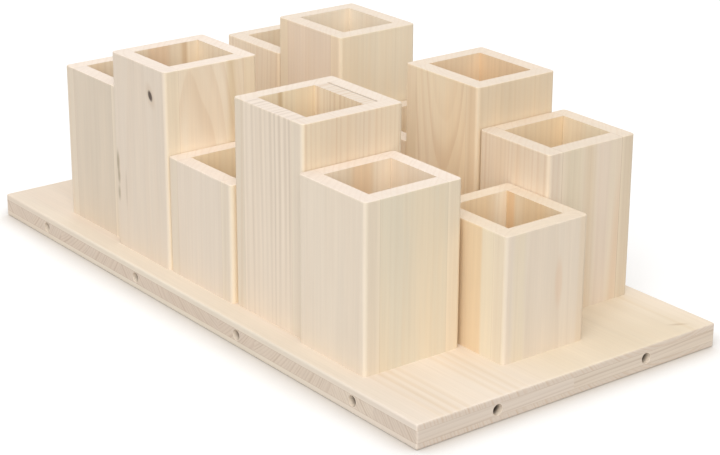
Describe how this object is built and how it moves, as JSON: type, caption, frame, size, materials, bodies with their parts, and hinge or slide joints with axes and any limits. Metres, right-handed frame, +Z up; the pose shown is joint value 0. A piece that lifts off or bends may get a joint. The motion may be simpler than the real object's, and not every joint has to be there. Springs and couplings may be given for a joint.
{
  "type": "tool storage caddy",
  "caption": "Free-standing spruce tool caddy: open boxes of stepped heights stand in rows along a rectangular laminated base board that has dowel holes in its edges.",
  "frame": {"origin": "middle of the base board's underside", "axes": "+X along the base's length towards the end box, +Y from the front row to the back row, +Z up"},
  "size_m": [0.528, 0.264, 0.17],
  "materials": {
    "spruce_board": "planed, unfinished",
    "spruce_face_ply": "sanded, unfinished",
    "spruce_core": "sawn edge, unfinished"
  },
  "bodies": {
    "root": {"back_box_1_back_wall": "spruce_board", "back_box_1_front_wall": "spruce_board", "back_box_1_left_wall": "spruce_board", "back_box_1_right_wall": "spruce_board", "back_box_2_back_wall": "spruce_board", "back_box_2_front_wall": "spruce_board", "back_box_2_left_wall": "spruce_board", "back_box_2_right_wall": "spruce_board", "back_box_3_back_wall": "spruce_board", "back_box_3_front_wall": "spruce_board", "back_box_3_left_wall": "spruce_board", "back_box_3_right_wall": "spruce_board", "back_box_4_back_wall": "spruce_board", "back_box_4_front_wall": "spruce_board", "back_box_4_left_wall": "spruce_board", "back_box_4_right_wall": "spruce_board", "back_box_5_back_wall": "spruce_board", "back_box_5_front_wall": "spruce_board", "back_box_5_left_wall": "spruce_board", "back_box_5_right_wall": "spruce_board", "base_bottom_ply": "spruce_face_ply", "base_core_bored_1": "spruce_core", "base_core_bored_2": "spruce_core", "base_core_bored_3": "spruce_core", "base_core_bored_4": "spruce_core", "base_core_left_end_1": "spruce_core", "base_core_left_end_2": "spruce_core", "base_core_plain_1": "spruce_core", "base_core_plain_2": "spruce_core", "base_core_plain_3": "spruce_core", "base_core_right_end_1": "spruce_core", "base_core_right_end_2": "spruce_core", "base_top_ply": "spruce_face_ply", "end_box_back_wall": "spruce_board", "end_box_front_wall": "spruce_board", "end_box_left_wall": "spruce_board", "end_box_right_wall": "spruce_board", "front_box_1_back_wall": "spruce_board", "front_box_1_front_wall": "spruce_board", "front_box_1_left_wall": "spruce_board", "front_box_1_right_wall": "spruce_board", "front_box_2_back_wall": "spruce_board", "front_box_2_front_wall": "spruce_board", "front_box_2_left_wall": "spruce_board", "front_box_2_right_wall": "spruce_board", "front_box_3_back_wall": "spruce_board", "front_box_3_front_wall": "spruce_board", "front_box_3_left_wall": "spruce_board", "front_box_3_right_wall": "spruce_board", "front_box_4_back_liner": "spruce_board", "front_box_4_back_wall": "spruce_board", "front_box_4_front_wall": "spruce_board", "front_box_4_left_wall": "spruce_board", "front_box_4_right_wall": "spruce_board", "front_box_5_back_wall": "spruce_board", "front_box_5_front_wall": "spruce_board", "front_box_5_left_wall": "spruce_board", "front_box_5_right_wall": "spruce_board"}
  },
  "joints": []
}
